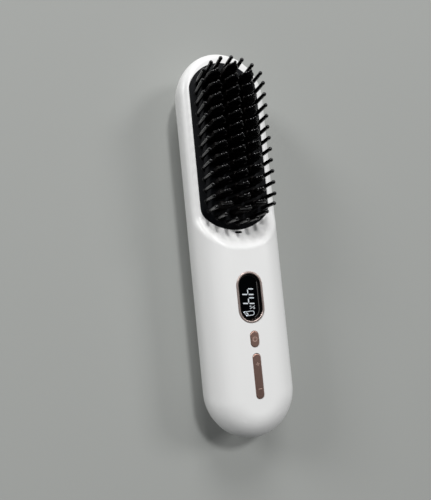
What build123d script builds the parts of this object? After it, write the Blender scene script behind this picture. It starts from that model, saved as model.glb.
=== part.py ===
from build123d import *
import os
from math import atan2, cos, radians, sin, sqrt, tan

# Cordless steam hair straightener brush, lying on its back.
# Millimetres. X to the right, Y along the body towards the crown, +Z out of the bristle face.
# The origin is the centre of the back face, on the surface that the brush lies on.

# ---------------------------------------------------------------- driving dimensions

# casing
wall = 2.0
front_edge_radius = 16.0      # rounding between the front face and the sides
back_edge_radius = 18.0       # rounding between the back face and the sides
side_band = 2.0               # straight band between the two roundings
lip_height = 1.0              # lip of the rear shell inside the front shell
lip_gap = 0.05
rim_edge_radius = 4.2
seam_chamfer = 0.15

# cells, which set the width and most of the handle's length
cell_diameter = 18.4
cell_length = 65.2
cell_gap = 0.6
cell_floor_gap = 0.85         # least plastic between a cell and the rear shell
cell_button_radius = 3.1
cell_button_height = 1.0
battery_side_room = 5.3       # from a cell's side to the casing's side
butt_room = 18.0              # from the cells to the butt end
step_room = 25.0              # from the cells to the head opening
tab_thickness = 0.3
tab_half_height = 4.5
tab_width = 27.0

# head
head_depth = 8.5              # the head's rim below the front face
opening_length = 89.1
opening_width = 37.8
crown_margin = 6.7            # from the opening to the crown end
crown_rise = 13.5             # how far the opening bulges at the crown end
low_rise = 9.2                # and at the handle end
crown_corner_radius = 10.0
low_corner_radius = 8.0
step_foot_margin = 0.4        # flat rim between the opening and the step
step_foot_radius = 25.2       # the step's foot, seen from the front
step_run = 8.0                # from the step's foot to its crest
foot_fillet = 0.7
crest_fillet = 7.0
crest_angle = 1.0             # slope left at the crest, in degrees

# comb bed
bed_gap = 0.3
bed_rise = 1.5
bed_margin = 3.0              # bevelled strip round the bed
bed_thickness = 2.5
skirt_thickness = 1.2
flange_thickness = 2.0
flange_overhang = 1.3
ear_width = 6.0
ear_reach = 3.5               # from the comb screw to the ear's end
comb_screw_x = 12.0
comb_screw_drop = 6.2         # from the opening's handle end to the comb screws

# nylon bristle pins, in a ring round the bed
pin_pitch = 5.61
pin_column_x = 15.8
pin_column_count = 11
pin_column_start = 15.6       # from the opening's handle end
pin_arc_radius = 19.0
pin_arc_angle = 17.15
pin_arc_count = 7
pin_crown_inset = 5.1
pin_low_inset = 3.35
pin_height = 14.6             # above the bed
pin_root_radius = 1.0
pin_neck_radius = 0.86
pin_tip_radius = 1.0
pin_shoulder_radius = 1.3
pin_shoulder_height = 1.5

# heating plate with its teeth
plate_thickness = 2.0
plate_width = 28.0
plate_margin = 2.0
plate_corner_radius = 8.0
tooth_pitch = 5.85
tooth_middle_count = 13
tooth_column_x = 8.7
tooth_start = 9.1             # from the opening's handle end
tooth_width = 7.0
tooth_thickness = 2.6
tooth_corner_radius = 0.8
tooth_edge = 0.3
tooth_height = 11.0           # above the bed
slot_gap = 0.25

# nylon caps on the teeth
cap_width = 6.4
cap_thickness = 1.5
cap_middle_rise = 6.0
cap_side_rise = 4.1
cap_tip_rise = 1.7
cap_tip_radius = 0.8
cap_neck_radius = 0.6
cap_edge_radius = 0.5
cap_peg_depth = 1.6

# heater pack under the plate
ptc_length = 60.0
ptc_width = 12.0
ptc_thickness = 2.2
insulator_thickness = 0.5
insulator_border = 1.5
carrier_floor = 2.0
carrier_wall = 1.5
fuse_radius = 1.1
fuse_length = 12.0
sensor_radius = 1.0
sensor_length = 4.0
sensor_x = 9.3
heater_screw_x = 10.5
heater_screw_inset = 10.7     # from the plate's ends

# water tank and steam path
tank_gap = 0.3
tank_wall = 1.2
tank_head_gap = 2.3           # between the tank lid and the heater carrier
tank_reach = 3.5              # from the wick to the tank's handle end
atomizer_drop = 8.2           # from the opening's handle end to the wick
wick_radius = 2.0
wick_gap = 0.2
wick_floor_gap = 0.5
holder_radius = 7.0
holder_height = 5.7
holder_floor = 2.5
disc_radius = 5.5
disc_thickness = 0.8
duct_wall = 0.9
duct_flange_radius = 6.2
duct_flange_thickness = 0.8
duct_gap = 0.2
nozzle_width = 3.8
nozzle_height = 1.8
nozzle_slot_width = 3.0
nozzle_slot_height = 1.0
nozzle_offset = 1.36          # from the step's foot, up the slope

# filler
filler_height = 9.5
filler_head_radius = 4.1
filler_gap = 0.2
filler_stem_radius = 2.85
filler_bore_gap = 0.12
filler_seat_depth = 5.9       # from the casing's surface to the plug's seat
filler_stem_length = 5.5
filler_collar_wall = 1.2
plug_surface_gap = 0.1

# main board and its switches
board_width = 37.0
board_thickness = 1.6
board_drop = 8.0              # from the front shell's ceiling to the board
board_head_reach = 4.8        # from the cells to the board's end, towards the head
switch_size = 6.0
switch_height = 3.5
switch_floor = 1.0
plunger_radius = 1.7
plunger_gap = 0.05
plunger_top = 5.0             # above the board
plunger_room = 0.6
press_gap = 0.08

# controls, from the head opening's handle end
display_drop = 34.7
power_drop = 55.5
rocker_drop = 73.8
proud = 0.4                   # how far the controls stand out of the front face
display_length = 25.6
display_width = 13.7
bezel_ring = 1.0
bezel_edge_radius = 0.25
bezel_flange = 0.5
bezel_flange_thickness = 0.9
bezel_proud = 0.3
bezel_gap = 0.1
lens_thickness = 1.5
lens_recess = 0.2
lens_ledge = 1.0
lens_edge_radius = 0.2
lens_gap = 0.05
module_gap = 0.3
button_length = 8.0
button_width = 4.4
button_gap = 0.15
button_flange = 0.9
button_flange_thickness = 1.3
button_stem_radius = 1.5
rocker_length = 22.1
rocker_width = 4.1
rocker_gap = 0.3
rocker_side_gap = 0.15
rocker_thickness = 3.4
rocker_press_reach = 7.5      # from the pin to each pressing pad
rocker_pad_radius = 1.2
rocker_hub_length = 4.0
rocker_pin_depth = 3.1        # the pin's axis below the front face
rocker_pin_radius = 0.75
rocker_pin_gap = 0.05
pivot_ear_thickness = 1.8
pivot_ear_gap = 0.5
pivot_ear_length = 4.4

# screws
screw_fit = 0.02
board_screw_radius = 1.0
board_screw_head_radius = 1.9
board_screw_head = 1.2
board_screw_length = 5.6
board_screw_inset = 4.0
board_screw_side_inset = 3.0
board_post_radius = 2.5
comb_screw_radius = 1.1
comb_screw_head_radius = 2.1
comb_screw_head = 1.3
comb_screw_length = 8.5
comb_post_radius = 2.8
case_screw_radius = 1.1
case_screw_head_radius = 2.1
case_screw_head = 1.6
case_screw_length = 17.5
case_screw_seat = 6.5         # height of the screw heads' seat above the back face
case_screw_hole_gap = 0.15
case_post_radius = 3.0
case_post_head_reach = 8.8    # from the cells to the screws by the head
case_post_butt_reach = 7.0    # from the cells to the screws by the butt end
case_post_head_x = 14.0
case_post_butt_x = 11.0
screw_plug_radius = 2.45
screw_plug_gap = 0.05

# charging socket
socket_width = 8.94
socket_height = 3.16
socket_shell = 0.3
socket_depth = 7.35
socket_recess = 0.7
socket_gap = 0.15
socket_back = 0.8
tongue_width = 6.7
tongue_thickness = 0.7
tongue_recess = 0.7
usb_board_width = 14.0
usb_board_thickness = 1.2
usb_board_front = 4.7         # from the butt end
usb_board_length = 11.3
usb_rib_thickness = 1.6
usb_rib_inset = 1.2           # from the board's inner end to the ribs under it
usb_rib_x = 5.0

# battery cradle
cradle_gap = 0.05
cradle_cell_gap = 0.1
cradle_end = 2.3
cradle_floor_height = 11.0
cradle_end_height = 14.0
foam_width = 8.0
foam_length = 50.0

# leads
lead_radius = 0.65
lead_spread = 8.8
lead_bend = 1.6
lead_clearance = 0.4

# ---------------------------------------------------------------- worked out from them

body_width = 2 * (battery_side_room + cell_diameter + cell_gap / 2)
body_height = back_edge_radius + side_band + front_edge_radius
body_length = butt_room + cell_length + step_room + opening_length + crown_margin
split_height = back_edge_radius
ceiling = body_height - wall

crown_end_y = body_length / 2
butt_end_y = -body_length / 2
cell_low_y = butt_end_y + butt_room
cell_high_y = cell_low_y + cell_length
opening_low_y = cell_high_y + step_room
opening_high_y = opening_low_y + opening_length

rim_height = body_height - head_depth
rim_underside = rim_height - wall
step_foot_y = opening_low_y - step_foot_margin
step_center_y = step_foot_y + step_foot_radius
slope = atan2(head_depth, step_run)

bed_top = rim_height + bed_rise
bed_underside = bed_top - bed_thickness
flange_bottom = rim_underside - flange_thickness
comb_screw_y = opening_low_y - comb_screw_drop

plate_bottom = bed_underside - plate_thickness
tooth_first_y = opening_low_y + tooth_start
tooth_middle_ys = [tooth_first_y + tooth_pitch * k for k in range(tooth_middle_count)]
tooth_side_ys = [y + tooth_pitch / 2 for y in tooth_middle_ys[:-1]]
tooth_middle_spots = [(0, y) for y in tooth_middle_ys]
tooth_side_spots = [(side * tooth_column_x, y) for side in (-1, 1) for y in tooth_side_ys]
tooth_spots = tooth_middle_spots + tooth_side_spots
tooth_top = bed_top + tooth_height
plate_low_y = tooth_middle_ys[0] - tooth_thickness / 2 - plate_margin
plate_high_y = tooth_middle_ys[-1] + tooth_thickness / 2 + plate_margin
plate_center_y = (plate_low_y + plate_high_y) / 2
ptc_bottom = plate_bottom - ptc_thickness
insulator_bottom = ptc_bottom - insulator_thickness
carrier_bottom = insulator_bottom - carrier_floor
heater_screw_spots = [
    (side * heater_screw_x, y)
    for side in (-1, 1)
    for y in (plate_low_y + heater_screw_inset, plate_high_y - heater_screw_inset)
]

tank_top = carrier_bottom - tank_head_gap
lid_bottom = tank_top - tank_wall
atomizer_y = opening_low_y - atomizer_drop
tank_low_y = atomizer_y - tank_reach
holder_top = tank_top + holder_height
disc_bottom = tank_top + holder_floor
steam_plane = Plane(
    origin=(
        0,
        step_foot_y - nozzle_offset * cos(slope),
        rim_height + nozzle_offset * sin(slope),
    ),
    x_dir=(1, 0, 0),
    z_dir=(0, sin(slope), cos(slope)),
)

cell_radius = cell_diameter / 2
cell_x = cell_radius + cell_gap / 2
cell_curve_room = back_edge_radius - wall - cell_radius - cell_floor_gap
cell_curve_x = cell_x - (body_width / 2 - back_edge_radius)
cell_z = back_edge_radius - sqrt(cell_curve_room**2 - cell_curve_x**2)
cell_top = cell_z + cell_radius

board_top = ceiling - board_drop
board_bottom = board_top - board_thickness
board_low_y = cell_low_y
board_high_y = cell_high_y + board_head_reach
board_screw_spots = [
    (side * (board_width / 2 - board_screw_side_inset), y)
    for side in (-1, 1)
    for y in (board_low_y + board_screw_inset, board_high_y - board_screw_inset)
]
display_y = opening_low_y - display_drop
power_y = opening_low_y - power_drop
rocker_y = opening_low_y - rocker_drop
press_top = board_top + plunger_top
control_top = body_height + proud
rocker_axis_z = body_height - rocker_pin_depth

case_screw_spots = [
    (side * x, y)
    for side in (-1, 1)
    for x, y in (
        (case_post_head_x, cell_high_y + case_post_head_reach),
        (case_post_butt_x, cell_low_y - case_post_butt_reach),
    )
]

socket_front_y = butt_end_y + socket_recess
usb_board_top = split_height - socket_height / 2
usb_board_bottom = usb_board_top - usb_board_thickness

# ---------------------------------------------------------------- shared shapes


def pill_form(inset):
    """The casing's outer form, moved inwards by inset on every side."""
    with BuildPart() as form:
        with BuildSketch(Plane.XY.offset(inset)):
            SlotOverall(body_length - 2 * inset, body_width - 2 * inset, rotation=90)
        extrude(amount=body_height - 2 * inset)
        fillet(form.edges().group_by(Axis.Z)[-1], radius=front_edge_radius - inset)
        fillet(form.edges().group_by(Axis.Z)[0], radius=back_edge_radius - inset)
    return form.part


def head_cut(inset):
    """The space over the sunk head and its sloped step, grown by inset."""
    floor = rim_height - inset
    shift = inset * tan(slope / 2)
    foot_y = step_center_y - step_foot_radius - shift
    crest_y = foot_y - step_run
    end_y = crest_y - step_foot_radius
    end_z = floor + head_depth + step_foot_radius * tan(radians(crest_angle))
    sky = body_height + head_depth
    with BuildPart() as cut:
        with BuildSketch(Plane.YZ):
            with BuildLine():
                FilletPolyline(
                    (step_center_y, floor),
                    (foot_y, floor),
                    (crest_y, floor + head_depth),
                    (end_y, end_z),
                    radius=(foot_fillet + inset, crest_fillet - inset),
                )
                Polyline(
                    (end_y, end_z),
                    (end_y, sky),
                    (step_center_y, sky),
                    (step_center_y, floor),
                )
            make_face()
        revolve(axis=Axis((0, step_center_y, 0), (0, 0, 1)))
        with BuildSketch(Plane.XY.offset(floor)):
            with Locations((0, step_center_y)):
                Rectangle(2 * body_width, body_length, align=(Align.CENTER, Align.MIN))
        extrude(amount=sky - floor)
    return cut.part


def opening_outline(outset):
    """The head opening's outline, moved outwards by outset."""
    half = opening_width / 2
    with BuildSketch() as outline:
        with BuildLine():
            ThreePointArc(
                (-half, opening_low_y + low_rise),
                (0, opening_low_y),
                (half, opening_low_y + low_rise),
            )
            Line((half, opening_low_y + low_rise), (half, opening_high_y - crown_rise))
            ThreePointArc(
                (half, opening_high_y - crown_rise),
                (0, opening_high_y),
                (-half, opening_high_y - crown_rise),
            )
            Line((-half, opening_high_y - crown_rise), (-half, opening_low_y + low_rise))
        make_face()
        fillet(outline.vertices().group_by(Axis.Y)[0], radius=low_corner_radius)
        fillet(outline.vertices().group_by(Axis.Y)[-1], radius=crown_corner_radius)
        if outset:
            offset(amount=outset, mode=Mode.REPLACE)
    return outline.sketch


def screws(spots, seat, radius, length, head_radius, head):
    """Pan head screws standing on their heads, which bear on the plane at seat."""
    with BuildPart() as group:
        with BuildSketch(Plane.XY.offset(seat)):
            with Locations(*spots):
                Circle(radius)
        extrude(amount=length)
        with BuildSketch(Plane.XY.offset(seat)):
            with Locations(*spots):
                Circle(head_radius)
        extrude(amount=-head)
        with BuildSketch(Plane.XY.offset(seat - head)):
            with Locations(*spots):
                Rectangle(radius, radius / 3)
                Rectangle(radius / 3, radius)
        extrude(amount=head / 2, mode=Mode.SUBTRACT)
    return group.part


def lead(points, bends):
    """One round insulated lead along straight runs joined by tangent arcs."""
    start = Vector(*points[0])
    heading = Vector(*points[1]) - start
    with BuildPart() as tube:
        with BuildLine() as route:
            FilletPolyline(*points, radius=bends)
        with BuildSketch(Plane(origin=start, z_dir=heading)):
            Circle(lead_radius)
        sweep(path=route.wire())
    return tube.part


# ---------------------------------------------------------------- front shell

# The solid form of the front, before it is hollowed: posts are trimmed to it.
with BuildPart() as front_form:
    add(pill_form(0))
    add(head_cut(0), mode=Mode.SUBTRACT)
    rim_edges = front_form.edges(Select.NEW).filter_by(GeomType.CIRCLE, reverse=True)
    fillet(rim_edges, radius=rim_edge_radius)
    split(bisect_by=Plane.XY.offset(split_height), keep=Keep.TOP)
    chamfer(front_form.edges().group_by(Axis.Z)[0], length=seam_chamfer)

with BuildPart() as cavity:
    add(pill_form(wall))
    add(head_cut(wall), mode=Mode.SUBTRACT)

# Posts and pivot ears that hang from the front shell's inside.
with BuildPart() as front_posts:
    with BuildSketch(Plane.XY.offset(split_height)):
        with Locations(*case_screw_spots):
            Circle(case_post_radius)
    extrude(amount=body_height)
    with BuildSketch(Plane.XY.offset(rim_underside)):
        with Locations((-comb_screw_x, comb_screw_y), (comb_screw_x, comb_screw_y)):
            Circle(comb_post_radius)
    extrude(amount=body_height)
    with BuildSketch(Plane.XY.offset(board_top)):
        with Locations(*board_screw_spots):
            Circle(board_post_radius)
    extrude(amount=body_height)
    with BuildSketch(Plane.XY.offset(rocker_axis_z - 2 * rocker_pin_radius)):
        for side in (-1, 1):
            ear_x = side * (rocker_width / 2 + pivot_ear_gap + pivot_ear_thickness / 2)
            with Locations((ear_x, rocker_y)):
                Rectangle(pivot_ear_thickness, pivot_ear_length)
    extrude(amount=body_height)
    add(front_form.part, mode=Mode.INTERSECT)

with BuildPart() as front_shell:
    add(front_form.part)
    add(cavity.part, mode=Mode.SUBTRACT)
    add(front_posts.part)
    # rebate for the rear shell's lip
    with BuildSketch(Plane.XY.offset(split_height)):
        SlotOverall(body_length - wall, body_width - wall, rotation=90)
        SlotOverall(
            body_length - 2 * wall - lip_gap,
            body_width - 2 * wall - lip_gap,
            rotation=90,
            mode=Mode.SUBTRACT,
        )
    extrude(amount=lip_height + lip_gap, mode=Mode.SUBTRACT)
    # head opening
    with BuildSketch(Plane.XY.offset(rim_underside - wall)):
        add(opening_outline(0))
    extrude(amount=head_depth + 3 * wall, mode=Mode.SUBTRACT)
    # display: seat for the bezel's flange, then the hole for its neck
    with BuildSketch(Plane.XY.offset(body_height)):
        with Locations((0, display_y)):
            SlotOverall(
                display_length + 2 * bezel_gap, display_width + 2 * bezel_gap, rotation=90
            )
    extrude(amount=-bezel_flange_thickness, mode=Mode.SUBTRACT)
    with BuildSketch(Plane.XY.offset(body_height)):
        with Locations((0, display_y)):
            SlotOverall(
                display_length - 2 * bezel_flange + 2 * bezel_gap,
                display_width - 2 * bezel_flange + 2 * bezel_gap,
                rotation=90,
            )
        with Locations((0, power_y)):
            SlotOverall(button_length + 2 * button_gap, button_width + 2 * button_gap, rotation=90)
        with Locations((0, rocker_y)):
            SlotOverall(
                rocker_length + 2 * rocker_gap, rocker_width + 2 * rocker_side_gap, rotation=90
            )
    extrude(amount=-2 * wall, mode=Mode.SUBTRACT)
    # steam outlet in the step
    with BuildSketch(steam_plane):
        SlotOverall(nozzle_width + 2 * lens_gap, nozzle_height + 2 * lens_gap)
    extrude(amount=2 * wall, both=True, mode=Mode.SUBTRACT)
    # screw pilot holes
    with BuildSketch(Plane.XY.offset(split_height)):
        with Locations(*case_screw_spots):
            Circle(case_screw_radius + screw_fit)
    extrude(
        amount=case_screw_seat + case_screw_length - split_height + case_screw_radius,
        mode=Mode.SUBTRACT,
    )
    with BuildSketch(Plane.XY.offset(rim_underside)):
        with Locations((-comb_screw_x, comb_screw_y), (comb_screw_x, comb_screw_y)):
            Circle(comb_screw_radius + screw_fit)
    extrude(amount=comb_screw_length - 2 * flange_thickness + comb_screw_radius, mode=Mode.SUBTRACT)
    with BuildSketch(Plane.XY.offset(board_top)):
        with Locations(*board_screw_spots):
            Circle(board_screw_radius + screw_fit)
    extrude(amount=board_screw_length - board_thickness + board_screw_radius / 2, mode=Mode.SUBTRACT)
    # pin holes in the pivot ears
    with BuildSketch(Plane.YZ):
        with Locations((rocker_y, rocker_axis_z)):
            Circle(rocker_pin_radius + screw_fit)
    extrude(
        amount=rocker_width / 2 + pivot_ear_gap + pivot_ear_thickness,
        both=True,
        mode=Mode.SUBTRACT,
    )
    # upper half of the charging socket's hole
    with BuildSketch(Plane.XZ.offset(-butt_end_y + wall)):
        with Locations((0, split_height)):
            SlotOverall(socket_width + 2 * socket_gap, socket_height + 2 * socket_gap)
    extrude(amount=-3 * wall, mode=Mode.SUBTRACT)
front_shell.part.label = "front_shell"

# ---------------------------------------------------------------- rear shell

with BuildPart() as rear_bosses:
    with BuildSketch():
        with Locations(*case_screw_spots):
            Circle(case_post_radius + wall / 2)
    extrude(amount=split_height)
    with BuildSketch():
        for side in (-1, 1):
            with Locations((side * usb_rib_x, butt_end_y + usb_board_front)):
                Rectangle(
                    usb_rib_thickness,
                    usb_board_length - usb_rib_inset,
                    align=(Align.CENTER, Align.MIN),
                )
    extrude(amount=usb_board_bottom)
    add(pill_form(wall / 2), mode=Mode.INTERSECT)

with BuildPart() as rear_shell:
    add(pill_form(0))
    split(bisect_by=Plane.XY.offset(split_height), keep=Keep.BOTTOM)
    chamfer(rear_shell.edges().group_by(Axis.Z)[-1], length=seam_chamfer)
    add(pill_form(wall), mode=Mode.SUBTRACT)
    # lip inside the front shell
    with BuildSketch(Plane.XY.offset(split_height - lip_height)):
        SlotOverall(body_length - wall - 2 * lip_gap, body_width - wall - 2 * lip_gap, rotation=90)
        SlotOverall(body_length - 2 * wall, body_width - 2 * wall, rotation=90, mode=Mode.SUBTRACT)
    extrude(amount=2 * lip_height)
    add(rear_bosses.part)
    # screw seats and holes
    with BuildSketch():
        with Locations(*case_screw_spots):
            Circle(screw_plug_radius + screw_plug_gap)
    extrude(amount=case_screw_seat, mode=Mode.SUBTRACT)
    with BuildSketch():
        with Locations(*case_screw_spots):
            Circle(case_screw_radius + case_screw_hole_gap)
    extrude(amount=split_height, mode=Mode.SUBTRACT)
    # filler hole at the crown end
    with BuildSketch(Plane.XZ.offset(-crown_end_y - wall)):
        with Locations((0, filler_height)):
            Circle(filler_head_radius + filler_gap)
    extrude(amount=body_width / 2, mode=Mode.SUBTRACT)
    # lower half of the charging socket's hole
    with BuildSketch(Plane.XZ.offset(-butt_end_y + wall)):
        with Locations((0, split_height)):
            SlotOverall(socket_width + 2 * socket_gap, socket_height + 2 * socket_gap)
    extrude(amount=-3 * wall, mode=Mode.SUBTRACT)
rear_shell.part.label = "rear_shell"

# ---------------------------------------------------------------- comb bed and bristle pins

pin_spots = []
for side in (-1, 1):
    for k in range(pin_column_count):
        pin_spots.append((side * pin_column_x, opening_low_y + pin_column_start + pin_pitch * k))
crown_arc_y = opening_high_y - pin_crown_inset - pin_arc_radius
low_arc_y = opening_low_y + pin_low_inset + pin_arc_radius
for k in range(pin_arc_count):
    turn = radians(pin_arc_angle * (k - (pin_arc_count - 1) / 2))
    pin_x = pin_arc_radius * sin(turn)
    pin_reach = pin_arc_radius * cos(turn)
    pin_spots.append((pin_x, crown_arc_y + pin_reach))
    pin_spots.append((pin_x, low_arc_y - pin_reach))

comb_screw_spots = [(-comb_screw_x, comb_screw_y), (comb_screw_x, comb_screw_y)]
ear_length = ear_reach + comb_screw_drop + low_rise

with BuildPart() as comb_bed:
    # flange under the shell's rim, with the two screw ears
    with BuildSketch(Plane.XY.offset(flange_bottom)):
        add(opening_outline(flange_overhang))
        for x, y in comb_screw_spots:
            with Locations((x, y - ear_reach)):
                Rectangle(ear_width, ear_length, align=(Align.CENTER, Align.MIN))
    extrude(amount=flange_thickness)
    # body that fills the opening, bevelled round its top
    with BuildSketch(Plane.XY.offset(rim_underside)):
        add(opening_outline(-bed_gap))
    extrude(amount=wall)
    with BuildSketch(Plane.XY.offset(rim_height)):
        add(opening_outline(-bed_gap))
    with BuildSketch(Plane.XY.offset(bed_top)):
        add(opening_outline(-bed_gap - bed_margin))
    loft(ruled=True)
    # hollow for the heating plate
    with BuildSketch(Plane.XY.offset(flange_bottom)):
        add(opening_outline(-bed_gap - skirt_thickness))
    extrude(amount=bed_underside - flange_bottom, mode=Mode.SUBTRACT)
    # slots for the teeth
    with BuildSketch(Plane.XY.offset(bed_underside)):
        with Locations(*tooth_spots):
            RectangleRounded(
                tooth_width + 2 * slot_gap, tooth_thickness + 2 * slot_gap, tooth_corner_radius
            )
        with Locations(*pin_spots):
            Circle(pin_root_radius + screw_fit)
    extrude(amount=bed_thickness, mode=Mode.SUBTRACT)
    with BuildSketch(Plane.XY.offset(bed_underside)):
        with Locations(*pin_spots):
            Circle(pin_shoulder_radius + screw_fit)
    extrude(amount=pin_shoulder_height, mode=Mode.SUBTRACT)
    with BuildSketch(Plane.XY.offset(flange_bottom)):
        with Locations(*comb_screw_spots):
            Circle(comb_screw_radius + case_screw_hole_gap)
    extrude(amount=flange_thickness, mode=Mode.SUBTRACT)
comb_bed.part.label = "comb_bed"

# One pin: a shoulder held in the bed, a tapered stem and a ball tip.
pin_ball_z = bed_top + pin_height - pin_tip_radius
with BuildPart() as pin:
    with BuildSketch(Plane.XZ):
        with BuildLine():
            Polyline(
                (0, bed_underside),
                (pin_shoulder_radius, bed_underside),
                (pin_shoulder_radius, bed_underside + pin_shoulder_height),
                (pin_root_radius, bed_underside + pin_shoulder_height),
                (pin_root_radius, bed_top),
                (pin_neck_radius, pin_ball_z),
                (0, pin_ball_z),
                (0, bed_underside),
            )
        make_face()
    revolve(axis=Axis.Z)
    with Locations((0, 0, pin_ball_z)):
        Sphere(pin_tip_radius)

with BuildPart() as bristle_pins:
    with Locations(*[(x, y, 0) for x, y in pin_spots]):
        add(pin.part)
bristle_pins.part.label = "bristle_pins"

# ---------------------------------------------------------------- heating plate and tooth caps

with BuildPart() as heating_plate:
    with BuildSketch(Plane.XY.offset(plate_bottom)):
        with Locations((0, plate_center_y)):
            RectangleRounded(plate_width, plate_high_y - plate_low_y, plate_corner_radius)
    extrude(amount=plate_thickness)
    with BuildSketch(Plane.XY.offset(bed_underside)):
        with Locations(*tooth_spots):
            RectangleRounded(tooth_width, tooth_thickness, tooth_corner_radius)
    extrude(amount=tooth_top - bed_underside)
    chamfer(heating_plate.edges().group_by(Axis.Z)[-1], length=tooth_edge)
    # holes for the caps' pegs and for the screws from below
    with BuildSketch(Plane.XY.offset(tooth_top)):
        with Locations(*tooth_spots):
            Circle(cap_neck_radius + screw_fit)
    extrude(amount=-cap_peg_depth - cap_neck_radius / 2, mode=Mode.SUBTRACT)
    with BuildSketch(Plane.XY.offset(plate_bottom)):
        with Locations(*heater_screw_spots):
            Circle(board_screw_radius + screw_fit)
    extrude(amount=plate_thickness - insulator_thickness, mode=Mode.SUBTRACT)
heating_plate.part.label = "heating_plate"


def tooth_cap(rise):
    """Arched nylon blade with a ball tip and a peg, standing on a tooth."""
    tip_z = tooth_top + rise + cap_tip_rise - cap_tip_radius
    with BuildPart() as cap:
        with BuildSketch(Plane.XZ.offset(-cap_thickness / 2)):
            with Locations((0, tooth_top)):
                Ellipse(cap_width / 2, rise)
                Rectangle(
                    cap_width,
                    2 * rise,
                    align=(Align.CENTER, Align.MAX),
                    mode=Mode.SUBTRACT,
                )
        extrude(amount=cap_thickness)
        fillet(cap.edges().filter_by(GeomType.ELLIPSE), radius=cap_edge_radius)
        with BuildSketch(Plane.XY.offset(tooth_top - cap_peg_depth)):
            Circle(cap_neck_radius)
        extrude(amount=tip_z - tooth_top + cap_peg_depth)
        with Locations((0, 0, tip_z)):
            Sphere(cap_tip_radius)
    return cap.part


middle_cap = tooth_cap(cap_middle_rise)
side_cap = tooth_cap(cap_side_rise)
with BuildPart() as tooth_caps:
    with Locations(*[(x, y, 0) for x, y in tooth_middle_spots]):
        add(middle_cap)
    with Locations(*[(x, y, 0) for x, y in tooth_side_spots]):
        add(side_cap)
tooth_caps.part.label = "tooth_caps"

# ---------------------------------------------------------------- heater pack

with BuildPart() as ptc_heater:
    with BuildSketch(Plane.XY.offset(ptc_bottom)):
        with Locations((0, plate_center_y)):
            Rectangle(ptc_width, ptc_length)
    extrude(amount=ptc_thickness)
ptc_heater.part.label = "ptc_heater"

with BuildPart() as heater_insulator:
    with BuildSketch(Plane.XY.offset(insulator_bottom)):
        with Locations((0, plate_center_y)):
            Rectangle(ptc_width + 2 * insulator_border, ptc_length + 2 * insulator_border)
    extrude(amount=insulator_thickness)
heater_insulator.part.label = "heater_insulator"

heater_lead_x = ptc_width / 3
heater_lead_y = plate_center_y - ptc_length / 2 - 2 * insulator_border - lead_radius
with BuildPart() as heater_carrier:
    with BuildSketch(Plane.XY.offset(carrier_bottom)):
        add(opening_outline(-bed_gap))
    extrude(amount=flange_bottom - carrier_bottom)
    with BuildSketch(Plane.XY.offset(insulator_bottom)):
        add(opening_outline(-bed_gap - carrier_wall))
    extrude(amount=flange_bottom - insulator_bottom, mode=Mode.SUBTRACT)
    # ears under the comb bed's ears, with seats for the screw heads
    with BuildSketch(Plane.XY.offset(carrier_bottom)):
        for x, y in comb_screw_spots:
            with Locations((x, y - ear_reach)):
                Rectangle(ear_width, ear_length, align=(Align.CENTER, Align.MIN))
    extrude(amount=flange_bottom - carrier_bottom)
    with BuildSketch(Plane.XY.offset(carrier_bottom)):
        with Locations(*comb_screw_spots):
            Circle(comb_screw_head_radius + case_screw_hole_gap)
    extrude(
        amount=flange_bottom - flange_thickness - carrier_bottom,
        mode=Mode.SUBTRACT,
    )
    # standoffs that clamp the plate
    with BuildSketch(Plane.XY.offset(insulator_bottom)):
        with Locations(*heater_screw_spots):
            Circle(board_post_radius - screw_fit)
    extrude(amount=plate_bottom - insulator_bottom)
    with BuildSketch(Plane.XY.offset(carrier_bottom)):
        with Locations(*heater_screw_spots):
            Circle(board_screw_radius + case_screw_hole_gap)
        with Locations(*comb_screw_spots):
            Circle(comb_screw_radius + case_screw_hole_gap)
        with Locations((-heater_lead_x, heater_lead_y), (heater_lead_x, heater_lead_y)):
            Circle(lead_radius + lead_clearance)
    extrude(amount=plate_bottom - carrier_bottom, mode=Mode.SUBTRACT)
heater_carrier.part.label = "heater_carrier"

with BuildPart() as thermal_fuse:
    with BuildSketch(Plane.XZ.offset(-plate_center_y - fuse_length / 2)):
        with Locations((sensor_x, plate_bottom - fuse_radius)):
            Circle(fuse_radius)
    extrude(amount=fuse_length)
thermal_fuse.part.label = "thermal_fuse"

with BuildPart() as temperature_sensor:
    with BuildSketch(Plane.XZ.offset(-plate_center_y - sensor_length / 2)):
        with Locations((-sensor_x, plate_bottom - sensor_radius)):
            Circle(sensor_radius)
    extrude(amount=sensor_length)
temperature_sensor.part.label = "temperature_sensor"

heater_screw_length = plate_bottom - carrier_bottom + plate_thickness / 2
heater_screws = screws(
    heater_screw_spots,
    carrier_bottom,
    board_screw_radius,
    heater_screw_length,
    board_screw_head_radius,
    board_screw_head,
)
heater_screws.label = "heater_screws"

comb_screws = screws(
    comb_screw_spots,
    flange_bottom - flange_thickness,
    comb_screw_radius,
    comb_screw_length,
    comb_screw_head_radius,
    comb_screw_head,
)
comb_screws.label = "comb_screws"

# ---------------------------------------------------------------- water tank and filler

crown_curve_y = crown_end_y - back_edge_radius
filler_surface_y = crown_curve_y + sqrt(back_edge_radius**2 - (split_height - filler_height) ** 2)
filler_seat_y = filler_surface_y - filler_seat_depth
collar_radius = filler_head_radius + filler_gap + filler_collar_wall
stem_end_y = filler_seat_y - filler_stem_length

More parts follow.
